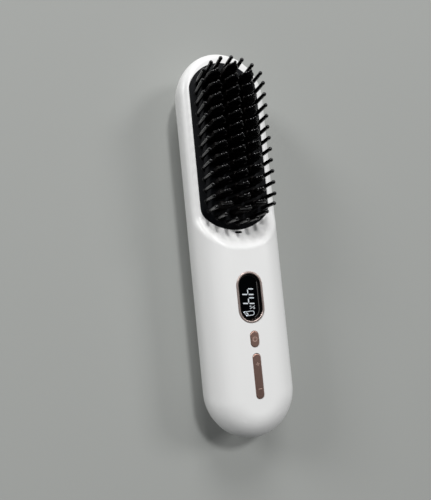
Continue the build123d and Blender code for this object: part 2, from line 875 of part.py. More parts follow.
with BuildPart() as water_tank:
    add(pill_form(wall + tank_gap))
    add(pill_form(wall + tank_gap + tank_wall), mode=Mode.SUBTRACT)
    # end wall towards the handle
    with BuildSketch(Plane.XZ.offset(-tank_low_y)):
        Rectangle(body_width, body_height, align=(Align.CENTER, Align.MIN))
    extrude(amount=-tank_wall)
    # collar round the filler
    with BuildSketch(Plane.XZ.offset(-stem_end_y)):
        with Locations((0, filler_height)):
            Circle(collar_radius)
    extrude(amount=-body_width / 2)
    add(pill_form(wall + tank_gap), mode=Mode.INTERSECT)
    split(bisect_by=Plane.XY.offset(lid_bottom), keep=Keep.BOTTOM)
    split(bisect_by=Plane.XZ.offset(-tank_low_y), keep=Keep.BOTTOM)
    # seat for the plug's head, then the bore for its stem
    with BuildSketch(Plane.XZ.offset(-filler_seat_y)):
        with Locations((0, filler_height)):
            Circle(filler_head_radius + filler_gap)
    extrude(amount=-body_width / 2, mode=Mode.SUBTRACT)
    with BuildSketch(Plane.XZ.offset(-stem_end_y)):
        with Locations((0, filler_height)):
            Circle(filler_stem_radius + filler_bore_gap)
    extrude(amount=-body_width / 2, mode=Mode.SUBTRACT)
water_tank.part.label = "water_tank"

with BuildPart() as tank_lid:
    add(pill_form(wall + tank_gap))
    split(bisect_by=Plane.XY.offset(lid_bottom), keep=Keep.TOP)
    split(bisect_by=Plane.XY.offset(tank_top), keep=Keep.BOTTOM)
    split(bisect_by=Plane.XZ.offset(-tank_low_y), keep=Keep.BOTTOM)
    with BuildSketch(Plane.XY.offset(lid_bottom)):
        with Locations((0, atomizer_y)):
            Circle(wick_radius + wick_gap)
    extrude(amount=tank_wall, mode=Mode.SUBTRACT)
tank_lid.part.label = "tank_lid"

with BuildPart() as filler_plug:
    with BuildSketch(Plane.XZ.offset(-filler_seat_y)):
        with Locations((0, filler_height)):
            Circle(filler_head_radius)
    extrude(amount=-body_width / 2)
    add(pill_form(plug_surface_gap), mode=Mode.INTERSECT)
    with BuildSketch(Plane.XZ.offset(-filler_seat_y)):
        with Locations((0, filler_height)):
            Circle(filler_stem_radius)
    extrude(amount=filler_stem_length)
filler_plug.part.label = "filler_plug"

# ---------------------------------------------------------------- steam path

with BuildPart() as wick:
    with BuildSketch(Plane.XY.offset(wall + tank_gap + tank_wall + wick_floor_gap)):
        with Locations((0, atomizer_y)):
            Circle(wick_radius)
    extrude(amount=disc_bottom - (wall + tank_gap + tank_wall + wick_floor_gap))
wick.part.label = "wick"

with BuildPart() as atomizer_holder:
    with BuildSketch(Plane.XY.offset(tank_top)):
        with Locations((0, atomizer_y)):
            Circle(holder_radius)
            Circle(wick_radius + wick_gap, mode=Mode.SUBTRACT)
    extrude(amount=holder_height)
    with BuildSketch(Plane.XY.offset(disc_bottom)):
        with Locations((0, atomizer_y)):
            Circle(disc_radius + wick_gap)
    extrude(amount=holder_height, mode=Mode.SUBTRACT)
atomizer_holder.part.label = "atomizer_holder"

with BuildPart() as atomizer_disc:
    with BuildSketch(Plane.XY.offset(disc_bottom)):
        with Locations((0, atomizer_y)):
            Circle(disc_radius)
    extrude(amount=disc_thickness)
atomizer_disc.part.label = "atomizer_disc"

duct_mouth = steam_plane.offset(-wall - duct_gap)
duct_base = holder_top + duct_flange_thickness
with BuildPart() as steam_duct:
    with BuildSketch(Plane.XY.offset(holder_top)):
        with Locations((0, atomizer_y)):
            Circle(duct_flange_radius)
    extrude(amount=duct_flange_thickness)
    with BuildSketch(Plane.XY.offset(disc_bottom + disc_thickness)):
        with Locations((0, atomizer_y)):
            Circle(disc_radius)
    extrude(amount=holder_top - disc_bottom - disc_thickness)
    with BuildSketch(Plane.XY.offset(duct_base)):
        with Locations((0, atomizer_y)):
            Circle(disc_radius - duct_wall / 2)
    with BuildSketch(duct_mouth):
        SlotOverall(nozzle_width + 2 * duct_wall, nozzle_height + 2 * duct_wall)
    loft()
    with BuildSketch(Plane.XY.offset(disc_bottom + disc_thickness)):
        with Locations((0, atomizer_y)):
            Circle(disc_radius - 1.5 * duct_wall)
    extrude(amount=duct_base - disc_bottom - disc_thickness, mode=Mode.SUBTRACT)
    with BuildSketch(Plane.XY.offset(duct_base)):
        with Locations((0, atomizer_y)):
            Circle(disc_radius - 1.5 * duct_wall)
    with BuildSketch(duct_mouth):
        SlotOverall(nozzle_width, nozzle_height)
    loft(mode=Mode.SUBTRACT)
steam_duct.part.label = "steam_duct"

with BuildPart() as steam_nozzle:
    with BuildSketch(steam_plane):
        SlotOverall(nozzle_width, nozzle_height)
        SlotOverall(nozzle_slot_width, nozzle_slot_height, mode=Mode.SUBTRACT)
    extrude(amount=-wall - duct_gap)
steam_nozzle.part.label = "steam_nozzle"

# ---------------------------------------------------------------- display

bezel_top = body_height + bezel_proud
bezel_seat = body_height - bezel_flange_thickness
lens_top = bezel_top - lens_recess
lens_bottom = lens_top - lens_thickness
lens_length = display_length - 2 * bezel_ring
lens_width = display_width - 2 * bezel_ring

with BuildPart() as display_bezel:
    with BuildSketch(Plane.XY.offset(bezel_seat)):
        with Locations((0, display_y)):
            SlotOverall(display_length, display_width, rotation=90)
    extrude(amount=bezel_top - bezel_seat)
    with BuildSketch(Plane.XY.offset(bezel_seat)):
        with Locations((0, display_y)):
            SlotOverall(
                display_length - 2 * bezel_flange, display_width - 2 * bezel_flange, rotation=90
            )
    extrude(amount=ceiling - bezel_seat)
    with BuildSketch(Plane.XY.offset(lens_bottom)):
        with Locations((0, display_y)):
            SlotOverall(lens_length, lens_width, rotation=90)
    extrude(amount=bezel_top - lens_bottom, mode=Mode.SUBTRACT)
    with BuildSketch(Plane.XY.offset(ceiling)):
        with Locations((0, display_y)):
            SlotOverall(lens_length - 2 * lens_ledge, lens_width - 2 * lens_ledge, rotation=90)
    extrude(amount=lens_bottom - ceiling, mode=Mode.SUBTRACT)
    fillet(display_bezel.edges().group_by(Axis.Z)[-1], radius=bezel_edge_radius)
display_bezel.part.label = "display_bezel"

with BuildPart() as display_lens:
    with BuildSketch(Plane.XY.offset(lens_bottom)):
        with Locations((0, display_y)):
            SlotOverall(lens_length - 2 * lens_gap, lens_width - 2 * lens_gap, rotation=90)
    extrude(amount=lens_thickness)
    fillet(display_lens.edges().group_by(Axis.Z)[-1], radius=lens_edge_radius)
display_lens.part.label = "display_lens"

with BuildPart() as display_module:
    with BuildSketch(Plane.XY.offset(board_top)):
        with Locations((0, display_y)):
            SlotOverall(
                lens_length - 2 * lens_ledge - 2 * module_gap,
                lens_width - 2 * lens_ledge - 2 * module_gap,
                rotation=90,
            )
    extrude(amount=lens_bottom - lens_gap - board_top)
display_module.part.label = "display_module"

# ---------------------------------------------------------------- main board and switches

with BuildPart() as main_board:
    with BuildSketch(Plane.XY.offset(board_bottom)):
        with Locations((0, (board_low_y + board_high_y) / 2)):
            Rectangle(board_width, board_high_y - board_low_y)
        with Locations(*board_screw_spots):
            Circle(board_screw_radius + case_screw_hole_gap, mode=Mode.SUBTRACT)
    extrude(amount=board_thickness)
main_board.part.label = "main_board"

board_screws = screws(
    board_screw_spots,
    board_bottom,
    board_screw_radius,
    board_screw_length,
    board_screw_head_radius,
    board_screw_head,
)
board_screws.label = "board_screws"


def switch_body(y):
    """Body of a tactile switch, with the well that its plunger moves in."""
    with BuildPart() as switch:
        with BuildSketch(Plane.XY.offset(board_top)):
            with Locations((0, y)):
                Rectangle(switch_size, switch_size)
        extrude(amount=switch_height)
        with BuildSketch(Plane.XY.offset(board_top + switch_floor)):
            with Locations((0, y)):
                Circle(plunger_radius + plunger_gap)
        extrude(amount=switch_height, mode=Mode.SUBTRACT)
    return switch.part


def switch_plunger(y):
    """Plunger of a tactile switch, which the control above it presses down."""
    bottom = board_top + switch_floor + plunger_room
    with BuildPart() as plunger:
        with BuildSketch(Plane.XY.offset(bottom)):
            with Locations((0, y)):
                Circle(plunger_radius)
        extrude(amount=press_top - bottom)
    return plunger.part


power_switch = switch_body(power_y)
power_switch.label = "power_switch"
power_switch_plunger = switch_plunger(power_y)
power_switch_plunger.label = "power_switch_plunger"
plus_switch = switch_body(rocker_y + rocker_press_reach)
plus_switch.label = "plus_switch"
plus_switch_plunger = switch_plunger(rocker_y + rocker_press_reach)
plus_switch_plunger.label = "plus_switch_plunger"
minus_switch = switch_body(rocker_y - rocker_press_reach)
minus_switch.label = "minus_switch"
minus_switch_plunger = switch_plunger(rocker_y - rocker_press_reach)
minus_switch_plunger.label = "minus_switch_plunger"

# ---------------------------------------------------------------- power button and rocker

button_flange_top = ceiling - press_gap
with BuildPart() as power_button:
    with BuildSketch(Plane.XY.offset(button_flange_top - button_flange_thickness)):
        with Locations((0, power_y)):
            SlotOverall(button_length, button_width, rotation=90)
    extrude(amount=control_top - button_flange_top + button_flange_thickness)
    top_edges = power_button.edges().group_by(Axis.Z)[-1]
    fillet(top_edges, radius=proud)
    with BuildSketch(Plane.XY.offset(button_flange_top)):
        with Locations((0, power_y)):
            SlotOverall(
                button_length + 2 * button_flange, button_width + 2 * button_flange, rotation=90
            )
    extrude(amount=-button_flange_thickness)
    with BuildSketch(Plane.XY.offset(button_flange_top - button_flange_thickness)):
        with Locations((0, power_y)):
            Circle(button_stem_radius)
    extrude(amount=press_top + press_gap - button_flange_top + button_flange_thickness)
power_button.part.label = "power_button"

rocker_bottom = control_top - rocker_thickness
with BuildPart() as temperature_rocker:
    with BuildSketch(Plane.XY.offset(rocker_bottom)):
        with Locations((0, rocker_y)):
            SlotOverall(rocker_length, rocker_width, rotation=90)
    extrude(amount=rocker_thickness)
    top_edges = temperature_rocker.edges().group_by(Axis.Z)[-1]
    fillet(top_edges, radius=proud)
    with BuildSketch(Plane.XY.offset(rocker_bottom)):
        for side in (-1, 1):
            with Locations((0, rocker_y + side * rocker_press_reach)):
                Circle(rocker_pad_radius)
    extrude(amount=press_top + press_gap - rocker_bottom)
    with BuildSketch(Plane.XY.offset(rocker_bottom)):
        with Locations((0, rocker_y)):
            Rectangle(rocker_width, rocker_hub_length)
    extrude(amount=rocker_axis_z - 2 * rocker_pin_radius - rocker_bottom)
    with BuildSketch(Plane.YZ):
        with Locations((rocker_y, rocker_axis_z)):
            Circle(rocker_pin_radius + rocker_pin_gap)
    extrude(amount=rocker_width, both=True, mode=Mode.SUBTRACT)
temperature_rocker.part.label = "temperature_rocker"

with BuildPart() as rocker_pin:
    with BuildSketch(Plane.YZ):
        with Locations((rocker_y, rocker_axis_z)):
            Circle(rocker_pin_radius)
    extrude(amount=rocker_width / 2 + pivot_ear_gap + pivot_ear_thickness, both=True)
rocker_pin.part.label = "rocker_pin"

# ---------------------------------------------------------------- battery


def battery_cell(x, button_up):
    """A cylindrical cell along Y: its contact button faces the head when button_up is 1."""
    if button_up:
        can_y = cell_low_y
        button_y = cell_high_y - cell_button_height
    else:
        can_y = cell_low_y + cell_button_height
        button_y = cell_low_y
    with BuildPart() as cell:
        with BuildSketch(Plane.XZ.offset(-can_y)):
            with Locations((x, cell_z)):
                Circle(cell_radius)
        extrude(amount=-(cell_length - cell_button_height))
        with BuildSketch(Plane.XZ.offset(-button_y)):
            with Locations((x, cell_z)):
                Circle(cell_button_radius)
        extrude(amount=-cell_button_height)
    return cell.part


battery_cell_left = battery_cell(-cell_x, 0)
battery_cell_left.label = "battery_cell_left"
battery_cell_right = battery_cell(cell_x, 1)
battery_cell_right.label = "battery_cell_right"

with BuildPart() as battery_tabs:
    for tab_y in (cell_low_y, cell_high_y + tab_thickness):
        with BuildSketch(Plane.XZ.offset(-tab_y)):
            with Locations((0, cell_z)):
                Rectangle(tab_width, 2 * tab_half_height)
        extrude(amount=tab_thickness)
battery_tabs.part.label = "battery_tabs"

cradle_low_y = cell_low_y - tab_thickness - cradle_end
cradle_high_y = cell_high_y + tab_thickness + cradle_end
with BuildPart() as battery_cradle:
    with BuildSketch():
        with Locations((0, cradle_low_y)):
            Rectangle(body_width, cradle_high_y - cradle_low_y, align=(Align.CENTER, Align.MIN))
    extrude(amount=cradle_end_height)
    add(pill_form(wall + cradle_gap), mode=Mode.INTERSECT)
    # room for the cells between the end walls
    with BuildSketch(Plane.XY.offset(cradle_floor_height)):
        with Locations((0, cell_low_y - tab_thickness)):
            Rectangle(
                body_width, cell_length + 2 * tab_thickness, align=(Align.CENTER, Align.MIN)
            )
    extrude(amount=body_height, mode=Mode.SUBTRACT)
    with BuildSketch(Plane.XZ.offset(-cell_low_y + tab_thickness)):
        with Locations((-cell_x, cell_z), (cell_x, cell_z)):
            Circle(cell_radius + cradle_cell_gap)
        with Locations((0, cell_z)):
            Rectangle(tab_width, 2 * tab_half_height)
    extrude(amount=-(cell_length + 2 * tab_thickness), mode=Mode.SUBTRACT)
battery_cradle.part.label = "battery_cradle"

with BuildPart() as battery_foam:
    with BuildSketch(Plane.XY.offset(cell_top)):
        with Locations(
            (-cell_x, (cell_low_y + cell_high_y) / 2), (cell_x, (cell_low_y + cell_high_y) / 2)
        ):
            Rectangle(foam_width, foam_length)
    extrude(amount=board_bottom - cell_top)
battery_foam.part.label = "battery_foam"

# ---------------------------------------------------------------- charging socket

with BuildPart() as usb_port:
    with BuildSketch(Plane.XZ.offset(-socket_front_y)):
        with Locations((0, split_height)):
            SlotOverall(socket_width, socket_height)
    extrude(amount=-socket_depth)
    with BuildSketch(Plane.XZ.offset(-socket_front_y)):
        with Locations((0, split_height)):
            SlotOverall(socket_width - 2 * socket_shell, socket_height - 2 * socket_shell)
    extrude(amount=-(socket_depth - socket_back), mode=Mode.SUBTRACT)
usb_port.part.label = "usb_port"

with BuildPart() as usb_tongue:
    with BuildSketch(Plane.XZ.offset(-socket_front_y - tongue_recess)):
        with Locations((0, split_height)):
            Rectangle(tongue_width, tongue_thickness)
    extrude(amount=-(socket_depth - socket_back - tongue_recess))
usb_tongue.part.label = "usb_tongue"

usb_board_low_y = butt_end_y + usb_board_front
with BuildPart() as usb_board:
    with BuildSketch(Plane.XY.offset(usb_board_bottom)):
        with Locations((0, usb_board_low_y)):
            Rectangle(usb_board_width, usb_board_length, align=(Align.CENTER, Align.MIN))
    extrude(amount=usb_board_thickness)
usb_board.part.label = "usb_board"

# ---------------------------------------------------------------- case screws and their plugs

case_screws = screws(
    case_screw_spots,
    case_screw_seat,
    case_screw_radius,
    case_screw_length,
    case_screw_head_radius,
    case_screw_head,
)
case_screws.label = "case_screws"

with BuildPart() as screw_plugs:
    with BuildSketch():
        with Locations(*case_screw_spots):
            Circle(screw_plug_radius)
    extrude(amount=case_screw_seat - case_screw_head - screw_plug_gap)
    add(pill_form(plug_surface_gap), mode=Mode.INTERSECT)
screw_plugs.part.label = "screw_plugs"

# ---------------------------------------------------------------- leads

lead_z = (tank_top + carrier_bottom) / 2
board_lead_y = cell_high_y + tab_thickness + cradle_end + lead_radius
ptc_lead_z = ptc_bottom + ptc_thickness / 2
with BuildPart() as heater_leads:
    for side in (-1, 1):
        heater_lead = lead(
            [
                (side * heater_lead_x, plate_center_y - ptc_length / 2, ptc_lead_z),
                (side * heater_lead_x, heater_lead_y, ptc_lead_z),
                (side * heater_lead_x, heater_lead_y, lead_z),
                (side * lead_spread, heater_lead_y - 2 * heater_lead_x, lead_z),
                (side * lead_spread, board_lead_y, lead_z),
                (side * lead_spread, board_lead_y, board_bottom),
            ],
            (lead_bend, lead_bend, 2 * lead_bend, lead_bend),
        )
        add(heater_lead)
heater_leads.part.label = "heater_leads"

holder_edge_y = atomizer_y - holder_radius
with BuildPart() as atomizer_leads:
    for side in (-1, 1):
        atomizer_lead = lead(
            [
                (side * wick_radius, holder_edge_y, disc_bottom),
                (side * wick_radius, board_high_y - 2 * lead_radius, disc_bottom),
                (side * wick_radius, board_high_y - 2 * lead_radius, board_bottom),
            ],
            (lead_bend,),
        )
        add(atomizer_lead)
atomizer_leads.part.label = "atomizer_leads"

tab_face_y = cell_high_y + tab_thickness
battery_lead_x = tab_width / 4
with BuildPart() as battery_leads:
    for side in (-1, 1):
        battery_lead = lead(
            [
                (side * battery_lead_x, tab_face_y + lead_radius, cradle_end_height + lead_clearance),
                (side * battery_lead_x, tab_face_y + lead_radius, board_bottom - 4 * lead_bend),
                (side * battery_lead_x, tab_face_y + 2 * lead_bend, board_bottom - 2 * lead_bend),
                (side * battery_lead_x, tab_face_y + 2 * lead_bend, board_bottom),
            ],
            (lead_bend, lead_bend),
        )
        add(battery_lead)
battery_leads.part.label = "battery_leads"

usb_lead_x = usb_board_width / 6
usb_lead_y = usb_board_low_y + usb_board_length - 2 * lead_radius
usb_lead_z = cell_top - lead_radius
with BuildPart() as usb_leads:
    for side in (-1, 1):
        usb_lead = lead(
            [
                (side * usb_lead_x, usb_lead_y, usb_board_top),
                (side * usb_lead_x, usb_lead_y, usb_lead_z),
                (side * usb_lead_x, board_low_y + 2 * lead_radius, usb_lead_z),
                (side * usb_lead_x, board_low_y + 2 * lead_radius, board_bottom),
            ],
            (lead_bend, lead_bend),
        )
        add(usb_lead)
usb_leads.part.label = "usb_leads"

# ---------------------------------------------------------------- write the pieces

pieces = [
    front_shell.part,
    rear_shell.part,
    comb_bed.part,
    bristle_pins.part,
    heating_plate.part,
    tooth_caps.part,
    ptc_heater.part,
    heater_insulator.part,
    heater_carrier.part,
    thermal_fuse.part,
    temperature_sensor.part,
    heater_screws,
    comb_screws,
    water_tank.part,
    tank_lid.part,
    filler_plug.part,
    wick.part,
    atomizer_holder.part,
    atomizer_disc.part,
    steam_duct.part,
    steam_nozzle.part,
    display_bezel.part,
    display_lens.part,
    display_module.part,
    main_board.part,
    board_screws,
    power_switch,
    power_switch_plunger,
    plus_switch,
    plus_switch_plunger,
    minus_switch,
    minus_switch_plunger,
    power_button.part,
    temperature_rocker.part,
    rocker_pin.part,
    battery_cell_left,
    battery_cell_right,
    battery_tabs.part,
    battery_cradle.part,
    battery_foam.part,
    usb_port.part,
    usb_tongue.part,
    usb_board.part,
    case_screws,
    screw_plugs.part,
    heater_leads.part,
    atomizer_leads.part,
    battery_leads.part,
    usb_leads.part,
]
os.makedirs("parts", exist_ok=True)
for piece in pieces:
    export_step(piece, f"parts/{piece.label}.step")
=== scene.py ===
import random
from math import cos, pi, radians, sin

import bmesh
import bpy
from mathutils import Matrix, Vector


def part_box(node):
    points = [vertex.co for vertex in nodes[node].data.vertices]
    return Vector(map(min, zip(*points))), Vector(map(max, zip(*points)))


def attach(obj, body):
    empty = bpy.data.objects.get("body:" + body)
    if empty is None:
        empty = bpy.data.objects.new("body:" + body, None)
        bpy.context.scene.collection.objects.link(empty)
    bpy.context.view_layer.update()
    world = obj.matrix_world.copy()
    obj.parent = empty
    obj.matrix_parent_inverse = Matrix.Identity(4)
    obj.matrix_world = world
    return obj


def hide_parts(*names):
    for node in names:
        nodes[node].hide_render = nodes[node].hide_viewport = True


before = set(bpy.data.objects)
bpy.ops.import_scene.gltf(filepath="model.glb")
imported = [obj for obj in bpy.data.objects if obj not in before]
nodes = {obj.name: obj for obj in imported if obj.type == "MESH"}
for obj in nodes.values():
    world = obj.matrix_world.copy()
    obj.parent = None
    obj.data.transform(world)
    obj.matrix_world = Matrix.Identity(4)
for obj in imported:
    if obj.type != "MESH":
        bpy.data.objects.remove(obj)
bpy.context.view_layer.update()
mm = 0.001

# ---------------------------------------------------------------- front shell
# Injection-moulded white ABS under a satin UV lacquer. The lacquer lies in a faint orange
# peel, so broad lights stay soft on it and no edge shows a hard glint.

noise_low, noise_high = 0.3, 0.7    # nearly all of a noise texture lies between these
mix_first, mix_second, mix_colour = 6, 7, 2    # the colour sockets of a Mix node, by number


def linear(colour):
    """The linear RGBA of an sRGB hex colour."""
    shares = [int(colour[at:at + 2], 16) / 255 for at in (0, 2, 4)]
    return [s / 12.92 if s <= 0.04045 else ((s + 0.055) / 1.055) ** 2.4 for s in shares] + [1.0]


def add_node(finish, kind, sockets=None, **settings):
    """Adds a node to a finish. Each named socket gets a value, or a link to a given socket."""
    made = finish.node_tree.nodes.new(kind)
    for name, value in settings.items():
        setattr(made, name, value)
    for name, value in (sockets or {}).items():
        if isinstance(value, bpy.types.NodeSocket):
            finish.node_tree.links.new(value, made.inputs[name])
        else:
            made.inputs[name].default_value = value
    return made


def new_finish(name, colour, roughness, **constants):
    """A material with its plain values on the shader's own sockets."""
    finish = bpy.data.materials.new(name)
    finish.use_nodes = True
    shader = finish.node_tree.nodes["Principled BSDF"]
    shader.inputs["Base Color"].default_value = linear(colour)
    shader.inputs["Roughness"].default_value = roughness
    for socket, value in constants.items():
        shader.inputs[socket.replace("_", " ")].default_value = value
    return finish


def grain(finish, size, depth, rough, detail=2.0):
    """Grain of that size and depth, in metres, with the roughness wandering between two values."""
    shader = finish.node_tree.nodes["Principled BSDF"]
    place = add_node(finish, "ShaderNodeTexCoord").outputs["Object"]
    noise = add_node(
        finish, "ShaderNodeTexNoise", {"Vector": place, "Scale": 1 / size, "Detail": detail}
    )
    spread = add_node(
        finish,
        "ShaderNodeMapRange",
        {
            "Value": noise.outputs["Fac"],
            "From Min": noise_low,
            "From Max": noise_high,
            "To Min": rough[0],
            "To Max": rough[1],
        },
    )
    bump = add_node(
        finish, "ShaderNodeBump", {"Height": noise.outputs["Fac"], "Distance": depth}
    )
    finish.node_tree.links.new(spread.outputs["Result"], shader.inputs["Roughness"])
    finish.node_tree.links.new(bump.outputs["Normal"], shader.inputs["Normal"])
    return finish


def mottle(finish, first, second, size, detail=3.0, socket="Base Color"):
    """Colour that wanders between two hex colours in patches of that size, in metres."""
    shader = finish.node_tree.nodes["Principled BSDF"]
    place = add_node(finish, "ShaderNodeTexCoord").outputs["Object"]
    noise = add_node(
        finish, "ShaderNodeTexNoise", {"Vector": place, "Scale": 1 / size, "Detail": detail}
    )
    mix = add_node(
        finish, "ShaderNodeMix", {"Factor": noise.outputs["Fac"]}, data_type="RGBA"
    )
    mix.inputs[mix_first].default_value = linear(first)
    mix.inputs[mix_second].default_value = linear(second)
    finish.node_tree.links.new(mix.outputs[mix_colour], shader.inputs[socket])
    return finish


def dress(finish, *names):
    """Gives a finish to every material slot of these CAD nodes."""
    for name in names:
        for material_slot in nodes[name].material_slots:
            material_slot.material = finish


lacquer_peel = 1.6 * mm
lacquer_depth = 0.004 * mm
lacquer_drift = 40 * mm
white_abs = new_finish(
    "satin_lacquered_white_abs", "ececeb", 0.4, Coat_Weight=0.15, Coat_Roughness=0.22, IOR=1.5
)
grain(white_abs, lacquer_peel, lacquer_depth, (0.36, 0.46))
mottle(white_abs, "ebebea", "eeeeed", lacquer_drift)
dress(white_abs, "front_shell")

# ---------------------------------------------------------------- rear shell
# The same lacquered ABS. It meets the front shell in a fine chamfered seam along the side,
# with a lip inside that keeps the two halves in line.

dress(white_abs, "rear_shell")

# ---------------------------------------------------------------- comb bed
# Glass-filled black nylon from a spark-eroded tool, so its face is a fine matt grain and
# even its bevelled border stays dark beside the pins. The grain is drawn coarser than the
# real one, so that it shows.

spark_grain = 0.35 * mm
spark_depth = 0.015 * mm
glass_flow = 6 * mm
bed_nylon = new_finish(
    "spark_grained_black_nylon", "04060a", 0.5, IOR=1.53, Specular_IOR_Level=0.1
)
grain(bed_nylon, spark_grain, spark_depth, (0.42, 0.58), 4.0)
mottle(bed_nylon, "040508", "06080d", glass_flow)
dress(bed_nylon, "comb_bed")

# ---------------------------------------------------------------- bristle pins
# Thirty-six moulded nylon pins stand in a ring round the bed. Each flares at its root,
# tapers to a neck and ends in a ball that glides over the scalp.

bed_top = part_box("comb_bed")[1].z
pin_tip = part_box("bristle_pins")[1].z
pin_root_radius = 1.06 * mm
pin_flare_radius = 1.25 * mm
pin_neck_radius = 0.93 * mm
pin_ball_radius = 1.02 * mm
pin_sides = 20
pin_ball_steps = 7
pin_smooth = radians(60)
pin_lean = radians(0.5)
weld_gap = 0.001 * mm


def start(add, **settings):
    """Adds a primitive alone, puts its place in its mesh and enters edit mode with all selected."""
    bpy.ops.object.select_all(action="DESELECT")
    add(**settings)
    bpy.ops.object.transform_apply(location=True, rotation=True, scale=True)
    bpy.ops.object.mode_set(mode="EDIT")
    bpy.ops.mesh.select_all(action="SELECT")


def finish_mesh(name, smooth=radians(40)):
    """Leaves edit mode with doubles merged, faces outward and shading smooth below an angle."""
    bpy.ops.mesh.select_all(action="SELECT")
    bpy.ops.mesh.remove_doubles(threshold=weld_gap)
    bpy.ops.mesh.normals_make_consistent(inside=False)
    bpy.ops.object.mode_set(mode="OBJECT")
    bpy.ops.object.shade_smooth_by_angle(angle=smooth)
    piece = bpy.context.object
    piece.name = name
    return piece


def turned(rings, sides):
    """A round piece on the Z axis, grown upwards ring by ring from (radius, height) pairs."""
    radius, height = rings[0]
    start(
        bpy.ops.mesh.primitive_circle_add,
        vertices=sides,
        radius=radius,
        fill_type="NGON",
        location=(0, 0, height),
    )
    for next_radius, next_height in rings[1:]:
        bpy.ops.mesh.extrude_region_move(
            TRANSFORM_OT_translate={"value": (0, 0, next_height - height)}
        )
        share = next_radius / radius
        bpy.ops.transform.resize(value=(share, share, 1))
        radius, height = next_radius, next_height


def ball_rings(radius, middle, neck, steps):
    """Rings of a ball, from a slight waist where it meets its neck up to a small flat on top."""
    low = -cos(neck / radius)
    high = 1.4    # radians above the ball's middle
    rings = []
    for step in range(steps + 1):
        angle = low + (high - low) * step / steps
        rings.append((radius * cos(angle), middle + radius * sin(angle)))
    return rings


def copies(master, places):
    """Copies of a mesh at each place matrix, joined with the master's name."""
    made = []
    for place in places:
        copy = bpy.data.objects.new(master.name, master.data.copy())
        copy.data.transform(place)
        bpy.context.scene.collection.objects.link(copy)
        made.append(copy)
    bpy.ops.object.select_all(action="DESELECT")
    name = master.name
    bpy.data.objects.remove(master)
    for copy in made:
        copy.select_set(True)
    bpy.context.view_layer.objects.active = made[0]
    bpy.ops.object.join()
    made[0].name = name
    return made[0]


pin_pitch = 5.61 * mm
pin_rows = 11
pin_column_x = 15.8 * mm
pin_column_start = 21.8 * mm
pin_arc_radius = 19.0 * mm
pin_arc_step = radians(17.15)
pin_arc_reach = 3                # steps on each side of an arc's middle
pin_crown_y = 90.2 * mm
pin_low_y = 9.55 * mm
pin_spots = [
    (side * pin_column_x, pin_column_start + pin_pitch * row)
    for side in (-1, 1)
    for row in range(pin_rows)
]
for step in range(-pin_arc_reach, pin_arc_reach + 1):
    turn = pin_arc_step * step
    sideways = pin_arc_radius * sin(turn)
    drop = pin_arc_radius * (1 - cos(turn))
    pin_spots += [(sideways, pin_crown_y - drop), (sideways, pin_low_y + drop)]

pin_sink = 1.4 * mm              # the root in its hole in the bed
pin_seat_gap = 0.01 * mm
pin_flare_rings = ((1.13 * mm, 0.16 * mm), (1.08 * mm, 0.5 * mm), (pin_root_radius, 1.2 * mm))
pin_neck_drop = 1.5 * mm
pin_ball_middle = pin_tip - pin_ball_radius
pin_rings = [
    (pin_root_radius, bed_top - pin_sink),
    (pin_root_radius, bed_top - pin_seat_gap),
    (pin_flare_radius, bed_top),
]
pin_rings += [(radius, bed_top + rise) for radius, rise in pin_flare_rings]
pin_rings.append((pin_neck_radius, pin_ball_middle - pin_neck_drop))
pin_rings += ball_rings(pin_ball_radius, pin_ball_middle, pin_neck_radius, pin_ball_steps)
turned(pin_rings, pin_sides)
pin = finish_mesh("nylon_pins", pin_smooth)

random.seed(36)
pin_places = []
for x, y in pin_spots:
    lean = Matrix.Rotation(random.uniform(-pin_lean, pin_lean), 4, "X")
    lean = lean @ Matrix.Rotation(random.uniform(-pin_lean, pin_lean), 4, "Y")
    foot = Matrix.Translation((0, 0, bed_top))
    pin_places.append(Matrix.Translation((x, y, 0)) @ foot @ lean @ foot.inverted())
pins = copies(pin, pin_places)
pin_nylon = new_finish(
    "moulded_black_nylon",
    "060607",
    0.3,
    IOR=1.53,
    Specular_IOR_Level=0.3,
    Coat_Weight=0.3,
    Coat_Roughness=0.07,
)
grain(pin_nylon, 0.8 * mm, 0.006 * mm, (0.24, 0.36))
pins.data.materials.append(pin_nylon)
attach(pins, "casing")
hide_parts("bristle_pins")

# ---------------------------------------------------------------- heating plate
# Die-cast aluminium with three columns of flat teeth, dipped in a black ceramic coat that
# bakes on with a fine speckle and a faint brown cast.

coat_speckle = 0.4 * mm
coat_depth = 0.006 * mm
coat_patch = 3 * mm
ceramic_coat = new_finish(
    "black_ceramic_coat_on_aluminium", "0a0606", 0.42, IOR=1.55, Specular_IOR_Level=0.15
)
grain(ceramic_coat, coat_speckle, coat_depth, (0.36, 0.5), 3.0)
mottle(ceramic_coat, "080606", "120c0b", coat_patch)
dress(ceramic_coat, "heating_plate")

# ---------------------------------------------------------------- tooth caps
# Anti-scald caps of black nylon, pressed onto the teeth: an arched blade with a ball tip,
# taller in the middle column. Crest and ball are polished, the flat sides keep a matt grain.

tooth_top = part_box("heating_plate")[1].z
cap_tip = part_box("tooth_caps")[1].z
cap_width = 6.4 * mm
cap_thickness = 1.5 * mm
cap_outline_points = 72
cap_crest_round = 0.72 * mm
cap_crest_steps = 6
cap_foot_band = 0.01 * mm        # the foot's edges, which stay sharp, lie within it
cap_ball_radius = 0.8 * mm
cap_ball_sides = 20
cap_ball_steps = 6
cap_neck_radius = 0.6 * mm
cap_neck_foot = 0.2 * mm
cap_ball_rise = 1.7 * mm
cap_side_area = 1.0 * mm * mm    # only a blade's flat sides have faces as large
cap_middle_rise = cap_tip - tooth_top - cap_ball_rise
cap_side_rise = 4.1 * mm
tooth_pitch = 5.85 * mm
tooth_start = 15.3 * mm
tooth_column_x = 8.7 * mm
tooth_rows = 13
cap_nylon = new_finish(
    "polished_black_nylon",
    "040304",
    0.3,
    IOR=1.53,
    Specular_IOR_Level=0.05,
    Coat_Weight=0.8,
    Coat_Roughness=0.05,
)
